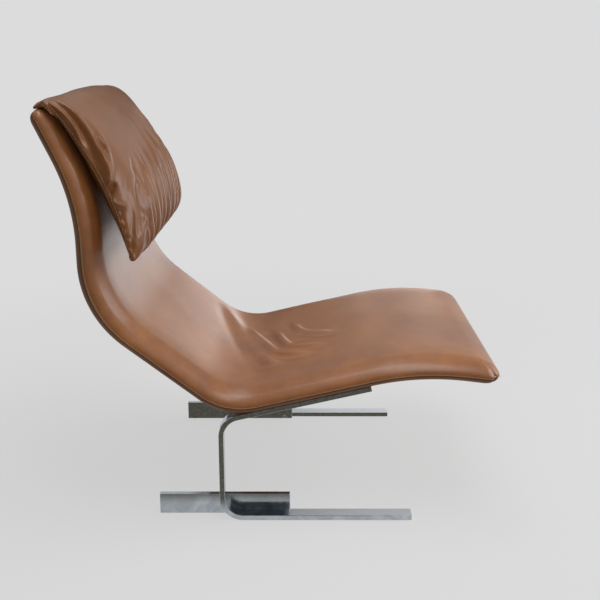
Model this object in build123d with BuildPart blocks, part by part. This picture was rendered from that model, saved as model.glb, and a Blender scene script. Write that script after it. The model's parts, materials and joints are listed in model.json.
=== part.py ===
from build123d import *
import os
from math import cos, hypot, radians, sin, tan

# A cantilever lounge chair: a padded leather wave on two bent flat-steel legs.
# The chair faces -Y and stands on Z = 0. All lengths are millimetres, angles degrees.

# Padded wave, by the straight stretches of its underside and rear
seat_width = 600
low_point_forward = -115
low_point_height = 262
seat_length = 452
seat_rise = 13.1
nose_length = 160
nose_drop = 7.2
lumbar_length = 397
lumbar_rise = 38
neck_length = 257
head_length = 180
head_lean = 24.6
crest_radius = 600
valley_radius = 150
lumbar_radius = 240
neck_radius = 450

# Thickness of the padding and the radii of its front face
nose_thickness = 44
valley_thickness = 42
lumbar_thickness = 48
head_thickness = 44
crest_top_radius = 640
valley_top_radius = 150
lumbar_front_radius = 230
neck_front_radius = 480
edge_radius = 19

# Leather and fits
leather = 2
seam_depth = 15
seam_gap = 0.3
soft_gap = 0.3
fit_gap = 0.05

# Inner frame
rail_diameter = 16
rail_wall = 1.5
rail_inset = 32
plug_flange = 2
plug_depth = 12
cross_tube_diameter = 14
cross_tube_setback = 14
cross_tube_margin = 24
strap_width = 40
strap_thickness = 2
strap_pitch = 56
seat_straps = 5
lumbar_straps = 3
rivet_diameter = 4
rivet_head_diameter = 9
rivet_head_height = 1.2
rivet_tail = 1.5
mount_plate_thickness = 6
mount_plate_width = 26
mount_plate_length = 232

# Legs, foot plates and their screws
bar_width = 30
bar_thickness = 12
bend_radius = 42
leg_rear = -130
floor_bar_front = 318
arm_length = 356
bar_chamfer = 0.8
foot_plate_thickness = 12
foot_plate_height = 50
foot_plate_length = 308
foot_plate_front = 33
foot_screw_diameter = 6
foot_screw_bite = 12
foot_screw_setback = 23
foot_screw_head = 11
bend_screw_angle = 20
pad_thickness = 1.5
pad_length = 236
seat_bolt_diameter = 8
seat_bolt_head = 15
seat_bolt_spacing = 150
front_bolt_setback = 76
lock_screw_diameter = 5
lock_screw_length = 6
lock_screw_recess = 0.8
socket_share = 0.6
glide_diameter = 16
plate_glide_diameter = 8
glide_height = 1.5
glide_recess = 2
glide_inset = 20

# Head cushion, measured down the head from the hinge in its round top edge
cushion_width = 592
cushion_drop = 357
cushion_gap = 0.6
cushion_depth = 84
cushion_crown = 12
cushion_crown_down = 185
cushion_lip = 39
lip_reach = 6
cushion_side_pull = 9
cushion_shoulder = 44
cushion_edge = 6
cushion_top_roundness = 2.2
cushion_hem_roundness = 2.6
# Shares of the way from the crown to the lip and to the hem
cushion_top_shares = [0.985, 0.9, 0.7, 0.4]
cushion_hem_shares = [0, 0.4, 0.72, 0.9, 0.985]
flap_thickness = 4
flap_reach = 46
flap_width = 500
flap_start = 4
stud_diameter = 12
stud_height = 2.5
stud_post = 4
stud_count = 5
stud_spacing = 110
stud_setback = 14


def stepped(point, length, heading):
    """The point reached from another by a length and a heading above forward."""
    return (
        point[0] + length * cos(radians(heading)),
        point[1] + length * sin(radians(heading)),
    )


def unit(start, end):
    """The unit direction from one point to another."""
    run, rise = end[0] - start[0], end[1] - start[1]
    span = hypot(run, rise)
    return (run / span, rise / span)


# Corners of the underside and rear, from the nose to the top of the head
valley = (low_point_forward, low_point_height)
crest = stepped(valley, seat_length, seat_rise)
nose = stepped(crest, nose_length, -nose_drop)
lumbar = stepped(valley, lumbar_length, 180 - lumbar_rise)
neck = stepped(lumbar, neck_length, 90)
head = stepped(neck, head_length, 90 + head_lean)
rear_line = [nose, crest, valley, lumbar, neck, head]
rear_radii = [crest_radius, valley_radius, lumbar_radius, neck_radius]
thicknesses = [
    nose_thickness,
    nose_thickness,
    valley_thickness,
    lumbar_thickness,
    head_thickness,
    head_thickness,
]
front_radii = [crest_top_radius, valley_top_radius, lumbar_front_radius, neck_front_radius]
# +1 where the front face is on the inside of the bend, -1 where it is outside
front_inside = [-1, 1, 1, -1]


def moved_line(line, gaps):
    """A line of corners moved towards the sitter by a gap at each corner."""
    moved = []
    for i, point in enumerate(line):
        before = unit(line[max(i - 1, 0)], line[max(i, 1)])
        after = unit(line[min(i, len(line) - 2)], line[min(i + 1, len(line) - 1)])
        normals = (before[1] + after[1], -before[0] - after[0])
        share = gaps[i] / (1 + before[0] * after[0] + before[1] * after[1])
        moved.append((point[0] + normals[0] * share, point[1] + normals[1] * share))
    return moved


def moved_radii(radii, gap):
    """Bend radii after a move of gap towards the sitter."""
    return [radius - side * gap for radius, side in zip(radii, front_inside)]


def stretched(line, extra):
    """A line of corners with its two end stretches made longer."""
    first, last = unit(line[1], line[0]), unit(line[-2], line[-1])
    return [
        (line[0][0] + first[0] * extra, line[0][1] + first[1] * extra),
        *line[1:-1],
        (line[-1][0] + last[0] * extra, line[-1][1] + last[1] * extra),
    ]


front_line = moved_line(rear_line, thicknesses)


def side_plane(across=0):
    """A plane seen from the sitter's right, with forward and up as its axes."""
    return Plane(origin=(across, 0, 0), x_dir=(0, -1, 0), z_dir=(-1, 0, 0))


def place(point, across=0):
    """A forward and up point as a position in space."""
    return (across, -point[0], point[1])


def wave(inset):
    """The padded wave drawn in by an inset on every side."""
    rear = moved_line(rear_line, [inset] * len(rear_line))
    front = moved_line(front_line, [-inset] * len(front_line))
    tips = []
    for inner, low, high in ((1, rear[0], front[0]), (-2, rear[-1], front[-1])):
        out = unit(rear[inner], low)
        reach = hypot(high[0] - low[0], high[1] - low[1]) / 2
        tips.append(
            (
                (low[0] + high[0]) / 2 + out[0] * reach,
                (low[1] + high[1]) / 2 + out[1] * reach,
            )
        )
    with BuildPart() as body:
        with BuildSketch(side_plane()):
            with BuildLine():
                FilletPolyline(*rear, radius=moved_radii(rear_radii, inset))
                ThreePointArc(rear[-1], tips[1], front[-1])
                FilletPolyline(*front, radius=moved_radii(front_radii, -inset))
                ThreePointArc(front[0], tips[0], rear[0])
            make_face()
        extrude(amount=seat_width / 2 - inset, both=True)
        sides = body.faces().filter_by(Axis.X)
        fillet(sides.edges(), radius=edge_radius - inset)
    return body.part


def rear_side(depth):
    """Everything behind and under a surface at a depth from the rear line."""
    beyond = 60
    outer = stretched(moved_line(rear_line, [-beyond] * len(rear_line)), beyond)
    inner = stretched(moved_line(rear_line, [depth] * len(rear_line)), beyond)
    with BuildPart() as region:
        with BuildSketch(side_plane()):
            with BuildLine():
                FilletPolyline(*outer, radius=moved_radii(rear_radii, -beyond))
                Line(outer[-1], inner[-1])
                FilletPolyline(*inner, radius=moved_radii(rear_radii, depth))
                Line(inner[0], outer[0])
            make_face()
        extrude(amount=seat_width / 2 + beyond, both=True)
    return region.part


rail_radius = rail_diameter / 2
rail_depth = leather + mount_plate_thickness + rail_radius + 2 * soft_gap
rail_across = seat_width / 2 - rail_inset
rail_line = moved_line(rear_line, [rail_depth] * len(rear_line))
strap_depth = rail_depth + rail_radius + soft_gap + strap_thickness / 2
# A rivet goes through the strap and the rail's wall, with its tail in the bore
rivet_length = strap_thickness + soft_gap + rail_wall + rivet_tail


def station(corner, along, depth, across=0):
    """A plane on the wave: X across, Y along the stretch, Z towards the sitter."""
    start, end = rear_line[corner], rear_line[corner + 1]
    way = unit(start, end)
    out = (way[1], -way[0])
    spot = (
        start[0] + way[0] * along + out[0] * depth,
        start[1] + way[1] * along + out[1] * depth,
    )
    return Plane(origin=place(spot, across), x_dir=(1, 0, 0), z_dir=(0, -out[0], out[1]))


def rail(across, radius, reach):
    """A bent round bar along the wave, longer at both ends by a reach."""
    path_line = stretched(rail_line, reach)
    with BuildPart() as bar:
        with BuildLine(side_plane(across)) as path:
            FilletPolyline(*path_line, radius=moved_radii(rear_radii, rail_depth))
        start = path.line @ 0
        with BuildSketch(Plane(origin=start, z_dir=path.line % 0)):
            Circle(radius)
        sweep()
    return bar.part


def cross_tube_plane(corner, along):
    """The plane of a cross tube's middle section."""
    spot = station(corner, along, rail_depth).origin
    return Plane(origin=spot, x_dir=(0, 1, 0), z_dir=(1, 0, 0))


# How far each bend reaches along the stretches beside it
crest_run = crest_radius * tan(radians(seat_rise + nose_drop) / 2)
valley_run = valley_radius * tan(radians(seat_rise + lumbar_rise) / 2)
lumbar_run = lumbar_radius * tan(radians(90 - lumbar_rise) / 2)
neck_run = neck_radius * tan(radians(head_lean) / 2)
seat_end = seat_length - valley_run
lumbar_end = lumbar_length - lumbar_run
cross_tubes = {
    "nose_cross_tube": cross_tube_plane(0, cross_tube_setback),
    "seat_cross_tube": cross_tube_plane(1, seat_end - cross_tube_margin),
    "lumbar_cross_tube": cross_tube_plane(2, lumbar_end - cross_tube_margin),
    "head_cross_tube": cross_tube_plane(4, head_length - cross_tube_setback),
}


def cross_bar(plane, radius, half_length):
    """A round bar across the chair."""
    with BuildPart() as bar:
        with BuildSketch(plane):
            Circle(radius)
        extrude(amount=half_length, both=True)
    return bar.part


def strap_planes():
    """The middle plane of each strap, those of the seat first."""
    planes = []
    for corner, middle, count in (
        (1, (crest_run + seat_end) / 2, seat_straps),
        (2, (valley_run + lumbar_end) / 2, lumbar_straps),
        (3, (lumbar_run + neck_length - neck_run) / 2, 1),
        (4, (neck_run + head_length) / 2, 1),
    ):
        for i in range(count):
            along = middle + (i - (count - 1) / 2) * strap_pitch
            planes.append(station(corner, along, strap_depth))
    return planes


def straps(planes, extra):
    """Flat straps from rail to rail, made larger all round by an extra."""
    with BuildPart() as group:
        for plane in planes:
            with Locations(plane):
                Box(
                    2 * (rail_across + rail_radius + extra),
                    strap_width + 2 * extra,
                    strap_thickness + 2 * extra,
                )
                if not extra:
                    with Locations((-rail_across, 0, 0), (rail_across, 0, 0)):
                        Cylinder(
                            rivet_diameter / 2 + fit_gap,
                            strap_thickness,
                            mode=Mode.SUBTRACT,
                        )
    return group.part


def rivets(planes, extra):
    """One rivet at each end of each strap, with its head on the strap."""
    with BuildPart() as group:
        for plane in planes:
            for across in (-rail_across, rail_across):
                top = plane.offset(strap_thickness / 2)
                with Locations(top * Location((across, 0, 0))):
                    Cylinder(
                        rivet_head_diameter / 2 + extra,
                        rivet_head_height + extra,
                        align=(Align.CENTER, Align.CENTER, Align.MIN),
                    )
                    Cylinder(
                        rivet_diameter / 2 + extra,
                        rivet_length,
                        align=(Align.CENTER, Align.CENTER, Align.MAX),
                    )
    return group.part


all_straps = strap_planes()
seat_strap_planes = all_straps[:seat_straps]
back_strap_planes = all_straps[seat_straps:]

# The legs: the upper arm lies under the straight stretch of the seat
seat_way = unit(valley, crest)
seat_out = (-seat_way[1], seat_way[0])
bar_middle = rail_across
bar_outer_side = bar_middle + bar_width / 2


def under_seat(forward, drop):
    """The point under the seat's straight stretch at a forward place and a drop."""
    rise = (forward - valley[0]) * seat_way[1] / seat_way[0]
    return (forward, valley[1] + rise - drop / seat_way[0])


arm_heel = under_seat(leg_rear, pad_thickness)
arm_tip = stepped(arm_heel, arm_length, seat_rise)
floor_tip = (floor_bar_front, glide_height)
floor_heel = (leg_rear, glide_height)
bar_line = [floor_tip, floor_heel, arm_heel, arm_tip]


def along_arm(setback, depth):
    """A plane on the arm, its Z pointing up to the seat, by setback from the tip."""
    spot = stepped(arm_tip, -setback, seat_rise)
    spot = (spot[0] + seat_out[0] * depth, spot[1] + seat_out[1] * depth)
    return Plane(origin=place(spot), x_dir=(1, 0, 0), z_dir=(0, -seat_out[0], seat_out[1]))


bolt_setbacks = [front_bolt_setback, front_bolt_setback + seat_bolt_spacing]
bolt_length = bar_thickness + pad_thickness + leather + soft_gap + mount_plate_thickness
foot_plate_middle = bar_outer_side - bar_width - foot_plate_thickness / 2
# Each foot plate takes one screw in the floor bar and one in the bend of the leg
bend_centre = bend_radius + bar_thickness
bend_middle = bend_radius + bar_thickness / 2
foot_screw_spots = [
    (foot_plate_front - foot_screw_setback, glide_height + bar_thickness / 2),
    (
        leg_rear + bend_centre - bend_middle * cos(radians(bend_screw_angle)),
        glide_height + bend_centre - bend_middle * sin(radians(bend_screw_angle)),
    ),
]


def glide_places(kind):
    """Forward places of the glides under a floor bar or under a foot plate."""
    if kind == "bar":
        return [floor_bar_front - glide_inset]
    return [foot_plate_front - foot_plate_length + glide_inset]


def lock_screw_plane(side):
    """The plane of a lock screw on the outer edge of an arm, Z pointing outwards."""
    on_top = stepped(arm_tip, -front_bolt_setback, seat_rise)
    middle = stepped(on_top, -bar_thickness / 2, 90 + seat_rise)
    return Plane(origin=place(middle, side * bar_outer_side), z_dir=(side, 0, 0))


def leg_bar(side):
    """A flat bar bent twice, for the right side (-1) or the left side (+1)."""
    inner = moved_line(bar_line, [bar_thickness] * len(bar_line))
    outer_bends = [bend_radius + bar_thickness] * 2
    with BuildPart() as bar:
        with BuildSketch(side_plane(side * bar_middle)):
            with BuildLine():
                FilletPolyline(*bar_line, radius=outer_bends)
                Line(bar_line[-1], inner[-1])
                FilletPolyline(*inner, radius=[bend_radius] * 2)
                Line(inner[0], bar_line[0])
            make_face()
        extrude(amount=bar_width / 2, both=True)
        flats = bar.faces().filter_by(Axis.X)
        chamfer(flats.edges(), length=bar_chamfer)
        for setback in bolt_setbacks:
            with Locations(along_arm(setback, -bar_thickness).rotated((180, 0, 0))):
                with Locations((side * bar_middle, 0, 0)):
                    CounterSinkHole(
                        seat_bolt_diameter / 2 + fit_gap,
                        seat_bolt_head / 2 + fit_gap,
                        depth=bar_thickness,
                    )
        with Locations(lock_screw_plane(side)):
            Hole(
                lock_screw_diameter / 2 + fit_gap,
                depth=lock_screw_recess + lock_screw_length + fit_gap,
            )
        for spot in foot_screw_spots:
            inner_face = side * (bar_outer_side - bar_width)
            with Locations(Plane(origin=place(spot, inner_face), z_dir=(-side, 0, 0))):
                Hole(foot_screw_diameter / 2 + fit_gap, depth=foot_screw_bite + fit_gap)
        for forward in glide_places("bar"):
            with Locations(
                Plane(origin=(side * bar_middle, -forward, glide_height), z_dir=(0, 0, -1))
            ):
                Hole(glide_diameter / 2 + fit_gap, depth=glide_recess)
    return bar.part


def foot_plate(side):
    """The tall plate screwed to the inner edge of a leg's floor bar."""
    middle = side * foot_plate_middle
    low = glide_height
    with BuildPart() as plate:
        with BuildSketch(side_plane(middle)):
            with Locations((foot_plate_front - foot_plate_length / 2, low + foot_plate_height / 2)):
                Rectangle(foot_plate_length, foot_plate_height)
        extrude(amount=foot_plate_thickness / 2, both=True)
        chamfer(plate.edges(), length=bar_chamfer)
        for spot in foot_screw_spots:
            inner_face = middle - side * foot_plate_thickness / 2
            with Locations(Plane(origin=place(spot, inner_face), z_dir=(-side, 0, 0))):
                CounterSinkHole(
                    foot_screw_diameter / 2 + fit_gap,
                    foot_screw_head / 2 + fit_gap,
                    depth=foot_plate_thickness,
                )
        for forward in glide_places("plate"):
            with Locations(Plane(origin=(middle, -forward, low), z_dir=(0, 0, -1))):
                Hole(plate_glide_diameter / 2 + fit_gap, depth=glide_recess)
    return plate.part


def countersunk_screw(plane, diameter, head, length):
    """A countersunk screw with a hexagon socket, its head's face on the plane."""
    cone = (head - diameter) / 2
    with BuildPart() as screw:
        with BuildSketch(plane):
            Circle(head / 2)
        with BuildSketch(plane.offset(-cone)):
            Circle(diameter / 2)
        loft()
        with BuildSketch(plane.offset(-cone)):
            Circle(diameter / 2)
        extrude(amount=-(length - cone))
        with BuildSketch(plane):
            RegularPolygon(diameter * socket_share / 2, 6, major_radius=False)
        extrude(amount=-cone, mode=Mode.SUBTRACT)
    return screw.part


def glide(across, forward, diameter):
    """A round glide set into the underside of a bar."""
    with BuildPart() as disc:
        with Locations((across, -forward, 0)):
            Cylinder(
                diameter / 2,
                glide_height + glide_recess - soft_gap,
                align=(Align.CENTER, Align.CENTER, Align.MIN),
            )
        chamfer(disc.faces().sort_by(Axis.Z)[0].edges(), length=glide_height / 3)
    return disc.part


# The head cushion hangs from a flap over the round top edge of the head
head_way = unit(neck, head)
head_out = (head_way[1], -head_way[0])
head_front = front_line[-1]
head_radius = head_thickness / 2
hinge = (
    (head[0] + head_front[0]) / 2,
    (head[1] + head_front[1]) / 2,
)
lip_radius = head_radius + soft_gap + flap_thickness + cushion_gap


def down_head(down, out, across=0):
    """A place on the head by its distance down from the hinge and out from it."""
    return place(
        (
            hinge[0] - head_way[0] * down + head_out[0] * out,
            hinge[1] - head_way[1] * down + head_out[1] * out,
        ),
        across,
    )


def head_plane(down):
    """A plane across the head: X across the chair and Y out towards the sitter."""
    return Plane(
        origin=down_head(down, 0),
        x_dir=(1, 0, 0),
        z_dir=(0, head_way[0], -head_way[1]),
    )


def cushion_section(share, rising, inset):
    """One section of the cushion, by its share of the way from the crown to an end.

    It is flat at the back, crowned in front and round at the sides, which are
    drawn in most at the crown.
    """
    end_down = inset - cushion_lip if rising else cushion_drop - inset
    roundness = cushion_top_roundness if rising else cushion_hem_roundness
    down = cushion_crown_down + (end_down - cushion_crown_down) * share
    fullness = (1 - share**roundness) ** (1 / roundness)
    front = head_radius + cushion_depth * fullness - inset
    side = front - cushion_crown * fullness
    back = inset - lip_reach
    seam = min(lip_radius, side - cushion_edge)
    half = cushion_width / 2 - cushion_side_pull * fullness**2 - inset
    shoulder = cushion_shoulder - inset
    # The middle point of the shoulder's arc, which is a quarter round
    lean = 1 - sin(radians(45))
    with BuildSketch(head_plane(down)) as section:
        with BuildLine():
            Line((-half, back), (half, back))
            Line((half, back), (half, seam))
            ThreePointArc(
                (half, seam),
                (half - shoulder * lean, side - (side - seam) * lean),
                (half - shoulder, side),
            )
            ThreePointArc((half - shoulder, side), (0, front), (shoulder - half, side))
            ThreePointArc(
                (shoulder - half, side),
                (shoulder * lean - half, side - (side - seam) * lean),
                (-half, seam),
            )
            Line((-half, seam), (-half, back))
        make_face()
    return section.sketch


def cushion_sections(inset):
    """Sections down the cushion, from the lip over the top edge to the hem."""
    above = [cushion_section(share, True, inset) for share in cushion_top_shares]
    below = [cushion_section(share, False, inset) for share in cushion_hem_shares]
    return above + below


def head_clearance(gap):
    """The round top edge and the front of the head, grown by a gap."""
    across = seat_width
    with BuildPart() as region:
        with BuildSketch(side_plane()):
            with Locations(hinge):
                Circle(gap)
        extrude(amount=across, both=True)
        with BuildSketch(head_plane(0)):
            Rectangle(2 * across, 2 * gap)
        extrude(amount=2 * cushion_drop)
    return region.part


def cushion(inset):
    """The head cushion drawn in by an inset on every side."""
    with BuildPart() as body:
        loft(cushion_sections(inset))
        add(head_clearance(lip_radius + inset), mode=Mode.SUBTRACT)
    return body.part


def flap_strip():
    """The flap: a band over the round top edge and a little way down the rear."""
    inner = head_radius + soft_gap
    outer = inner + flap_thickness
    first, last = head_lean + flap_start, head_lean + 180
    middle = (first + last) / 2
    drop = (-head_way[0] * flap_reach, -head_way[1] * flap_reach)

    def on_ring(radius, turn, moved=(0, 0)):
        return (
            hinge[0] + radius * cos(radians(turn)) + moved[0],
            hinge[1] + radius * sin(radians(turn)) + moved[1],
        )

    with BuildPart() as strip:
        with BuildSketch(side_plane()):
            with BuildLine():
                ThreePointArc(on_ring(inner, first), on_ring(inner, middle), on_ring(inner, last))
                Line(on_ring(inner, last), on_ring(inner, last, drop))
                Line(on_ring(inner, last, drop), on_ring(outer, last, drop))
                Line(on_ring(outer, last, drop), on_ring(outer, last))
                ThreePointArc(on_ring(outer, last), on_ring(outer, middle), on_ring(outer, first))
                Line(on_ring(outer, first), on_ring(inner, first))
            make_face()
        extrude(amount=flap_width / 2, both=True)
    return strip.part


def stud_planes(height):
    """Planes of the flap's studs, Z pointing back out of the chair."""
    down = flap_reach - stud_setback
    planes = []
    for i in range(stud_count):
        across = (i - (stud_count - 1) / 2) * stud_spacing
        planes.append(
            Plane(
                origin=down_head(down, -head_radius - height, across),
                x_dir=(1, 0, 0),
                z_dir=(0, head_out[0], -head_out[1]),
            )
        )
    return planes


def studs(extra):
    """Press studs through the flap, with their posts in the leather behind it."""
    base = soft_gap + flap_thickness
    with BuildPart() as group:
        for plane in stud_planes(base):
            with Locations(plane):
                Cylinder(
                    stud_diameter / 2 + extra,
                    stud_height,
                    align=(Align.CENTER, Align.CENTER, Align.MIN),
                )
                Cylinder(
                    stud_post / 2 + extra,
                    base + leather,
                    align=(Align.CENTER, Align.CENTER, Align.MAX),
                )
    return group.part


# Shared tool bodies
skin_hollow = wave(leather)
outer_wave = wave(0)
rail_bodies = {side: rail(side * rail_across, rail_radius, 0) for side in (-1, 1)}
rail_rooms = {
    side: rail(side * rail_across, rail_radius + soft_gap, plug_flange + soft_gap)
    for side in (-1, 1)
}
bolt_planes = [
    along_arm(setback, -bar_thickness).rotated((180, 0, 0)) for setback in bolt_setbacks
]


def bolt_shafts(side, radius, length):
    """Round shafts along the seat bolts of one leg, up from the bar's underside."""
    with BuildPart() as shafts:
        for setback in bolt_setbacks:
            with Locations(along_arm(setback, -bar_thickness)):
                with Locations((side * bar_middle, 0, 0)):
                    Cylinder(radius, length, align=(Align.CENTER, Align.CENTER, Align.MIN))
    return shafts.part


def arm_block(side, width, length, low, high, grown=0):
    """A flat block lying along the arm, between two depths above its top."""
    middle = bolt_setbacks[0] + seat_bolt_spacing / 2
    with BuildPart() as block:
        with BuildSketch(along_arm(middle, low - grown)):
            with Locations((side * bar_middle, 0)):
                Rectangle(width + 2 * grown, length + 2 * grown)
        extrude(amount=high - low + 2 * grown)
    return block.part


plate_low = pad_thickness + leather + soft_gap
plate_high = plate_low + mount_plate_thickness
os.makedirs("parts", exist_ok=True)

# Covers: the front and the rear leather meet at a seam on the side band
front_side_of_seam = rear_side(seam_depth + seam_gap / 2)
rear_side_of_seam = rear_side(seam_depth - seam_gap / 2)

with BuildPart() as front_cover:
    add(outer_wave)
    add(skin_hollow, mode=Mode.SUBTRACT)
    add(front_side_of_seam, mode=Mode.SUBTRACT)

with BuildPart() as rear_cover:
    add(outer_wave)
    add(skin_hollow, mode=Mode.SUBTRACT)
    add(rear_side_of_seam, mode=Mode.INTERSECT)
    for side in (-1, 1):
        add(
            bolt_shafts(side, seat_bolt_diameter / 2 + fit_gap, bolt_length),
            mode=Mode.SUBTRACT,
        )
    add(studs(fit_gap), mode=Mode.SUBTRACT)

# Foam in two layers, moulded round the inner frame
with BuildPart() as frame_room:
    for side in (-1, 1):
        add(rail_rooms[side])
        add(arm_block(side, mount_plate_width, mount_plate_length, plate_low, plate_high, soft_gap))
    for plane in cross_tubes.values():
        add(cross_bar(plane, cross_tube_diameter / 2 + soft_gap, rail_across))
    add(straps(all_straps, soft_gap))
    add(rivets(all_straps, soft_gap))

foam_split = strap_depth - strap_thickness / 2

with BuildPart() as front_foam:
    add(wave(leather + soft_gap))
    add(rear_side(foam_split), mode=Mode.SUBTRACT)
    add(frame_room.part, mode=Mode.SUBTRACT)

with BuildPart() as rear_foam:
    add(wave(leather + soft_gap))
    add(rear_side(foam_split - soft_gap), mode=Mode.INTERSECT)
    add(frame_room.part, mode=Mode.SUBTRACT)

# Inner frame: two bent rails, four cross tubes, straps and their rivets
rivet_holes = rivets(all_straps, fit_gap)
rails = {}
for side, name in ((-1, "right_rail"), (1, "left_rail")):
    with BuildPart() as tube:
        add(rail_bodies[side])
        add(rail(side * rail_across, rail_radius - rail_wall, 1), mode=Mode.SUBTRACT)
        add(rivet_holes, mode=Mode.SUBTRACT)
    rails[name] = tube

cross_tube_parts = {}
for name, plane in cross_tubes.items():
    with BuildPart() as tube:
        add(cross_bar(plane, cross_tube_diameter / 2, rail_across))
        add(cross_bar(plane, cross_tube_diameter / 2 - rail_wall, rail_across), mode=Mode.SUBTRACT)
        for side in (-1, 1):
            add(rail_bodies[side], mode=Mode.SUBTRACT)
    cross_tube_parts[name] = tube

with BuildPart() as rail_plugs:
    for side in (-1, 1):
        for corner, along, turn in ((0, 0, 1), (4, head_length, -1)):
            spot = station(corner, along, rail_depth, side * rail_across)
            with Locations(spot.rotated((90 * turn, 0, 0))):
                Cylinder(
                    rail_radius,
                    plug_flange,
                    align=(Align.CENTER, Align.CENTER, Align.MIN),
                )
                Cylinder(
                    rail_radius - rail_wall - fit_gap,
                    plug_depth,
                    align=(Align.CENTER, Align.CENTER, Align.MAX),
                )

with BuildPart() as seat_webbing:
    add(straps(seat_strap_planes, 0))

with BuildPart() as back_webbing:
    add(straps(back_strap_planes, 0))

with BuildPart() as webbing_rivets:
    add(rivets(all_straps, 0))

# Mounting plates inside the seat, threaded for the seat bolts, and the arm pads
plates, pads, legs, foot_plates = {}, {}, {}, {}
for side, hand in ((-1, "right"), (1, "left")):
    with BuildPart() as plate:
        add(arm_block(side, mount_plate_width, mount_plate_length, plate_low, plate_high))
        add(bolt_shafts(side, seat_bolt_diameter / 2 + fit_gap, bolt_length), mode=Mode.SUBTRACT)
    plates[hand + "_mount_plate"] = plate
    with BuildPart() as pad:
        add(arm_block(side, bar_width - 2 * bar_chamfer, pad_length, 0, pad_thickness))
        add(bolt_shafts(side, seat_bolt_diameter / 2 + fit_gap, bolt_length), mode=Mode.SUBTRACT)
    pads[hand + "_arm_pad"] = pad
    with BuildPart() as leg:
        add(leg_bar(side))
    legs[hand + "_leg"] = leg
    with BuildPart() as tall_plate:
        add(foot_plate(side))
    foot_plates[hand + "_foot_plate"] = tall_plate

with BuildPart() as seat_bolts:
    for side in (-1, 1):
        for plane in bolt_planes:
            spot = Plane(
                origin=plane.origin + Vector(side * bar_middle, 0, 0),
                x_dir=plane.x_dir,
                z_dir=plane.z_dir,
            )
            add(countersunk_screw(spot, seat_bolt_diameter, seat_bolt_head, bolt_length))

with BuildPart() as foot_plate_screws:
    for side in (-1, 1):
        inner_face = side * (foot_plate_middle - foot_plate_thickness / 2)
        for spot in foot_screw_spots:
            add(
                countersunk_screw(
                    Plane(origin=place(spot, inner_face), z_dir=(-side, 0, 0)),
                    foot_screw_diameter,
                    foot_screw_head,
                    foot_plate_thickness + foot_screw_bite,
                )
            )

with BuildPart() as lock_screws:
    for side in (-1, 1):
        plane = lock_screw_plane(side)
        with BuildSketch(plane.offset(-lock_screw_recess)):
            Circle(lock_screw_diameter / 2)
            RegularPolygon(
                lock_screw_diameter * socket_share / 2, 6, major_radius=False, mode=Mode.SUBTRACT
            )
        extrude(amount=-lock_screw_length / 2)
        with BuildSketch(plane.offset(-lock_screw_recess - lock_screw_length / 2)):
            Circle(lock_screw_diameter / 2)
        extrude(amount=-lock_screw_length / 2)

with BuildPart() as floor_glides:
    for side in (-1, 1):
        for forward in glide_places("bar"):
            add(glide(side * bar_middle, forward, glide_diameter))
        for forward in glide_places("plate"):
            add(glide(side * foot_plate_middle, forward, plate_glide_diameter))

# Head cushion, its flap over the top edge, and the studs that hold the flap
with BuildPart() as cushion_cover:
    add(cushion(0))
    add(cushion(leather), mode=Mode.SUBTRACT)

with BuildPart() as cushion_filling:
    add(cushion(leather + soft_gap))

with BuildPart() as cushion_flap:
    add(flap_strip())
    add(studs(fit_gap), mode=Mode.SUBTRACT)

with BuildPart() as flap_studs:
    add(studs(0))

pieces = {
    "front_cover": front_cover,
    "rear_cover": rear_cover,
    "front_foam": front_foam,
    "rear_foam": rear_foam,
    "rail_plugs": rail_plugs,
    "seat_webbing": seat_webbing,
    "back_webbing": back_webbing,
    "webbing_rivets": webbing_rivets,
    "seat_bolts": seat_bolts,
    "foot_plate_screws": foot_plate_screws,
    "lock_screws": lock_screws,
    "floor_glides": floor_glides,
    "head_cushion_cover": cushion_cover,
    "head_cushion_filling": cushion_filling,
    "cushion_flap": cushion_flap,
    "flap_studs": flap_studs,
    **rails,
    **cross_tube_parts,
    **plates,
    **pads,
    **legs,
    **foot_plates,
}
for name, piece in pieces.items():
    piece.part.label = name
    export_step(piece.part, f"parts/{name}.step")
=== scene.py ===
import bpy
import bmesh
import json
import math
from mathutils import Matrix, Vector, noise
from mathutils.bvhtree import BVHTree


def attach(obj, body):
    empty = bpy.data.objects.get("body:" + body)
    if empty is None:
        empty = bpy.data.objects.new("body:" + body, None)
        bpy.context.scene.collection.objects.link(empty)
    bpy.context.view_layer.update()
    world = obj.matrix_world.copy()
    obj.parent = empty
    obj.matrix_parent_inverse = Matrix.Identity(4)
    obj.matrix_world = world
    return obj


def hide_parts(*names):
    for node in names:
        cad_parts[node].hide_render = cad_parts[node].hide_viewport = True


# The chair faces -Y and stands on z = 0. Lengths are metres.
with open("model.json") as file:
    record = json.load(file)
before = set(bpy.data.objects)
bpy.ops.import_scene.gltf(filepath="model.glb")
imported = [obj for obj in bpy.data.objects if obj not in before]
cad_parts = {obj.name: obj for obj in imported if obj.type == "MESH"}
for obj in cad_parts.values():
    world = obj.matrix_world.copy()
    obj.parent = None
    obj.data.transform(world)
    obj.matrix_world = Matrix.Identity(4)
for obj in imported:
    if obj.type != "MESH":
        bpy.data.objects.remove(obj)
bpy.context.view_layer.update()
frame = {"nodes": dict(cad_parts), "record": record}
nodes = frame["nodes"]


def deselectAll():
    if bpy.context.object and bpy.context.object.mode != "OBJECT":
        bpy.ops.object.mode_set(mode="OBJECT")
    bpy.ops.object.select_all(action="DESELECT")


def makeActive(obj):
    deselectAll()
    obj.select_set(True)
    bpy.context.view_layer.objects.active = obj


def applyModifiers(obj):
    makeActive(obj)
    for modifier in list(obj.modifiers):
        bpy.ops.object.modifier_apply(modifier=modifier.name)


def addObject(name, data):
    obj = bpy.data.objects.new(name, data)
    bpy.context.scene.collection.objects.link(obj)
    return obj


# Cuts each face in four and rounds them
def roundOff(obj):
    smooth = obj.modifiers.new("round", "SUBSURF")
    smooth.levels = smooth.render_levels = 1
    applyModifiers(obj)


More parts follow.
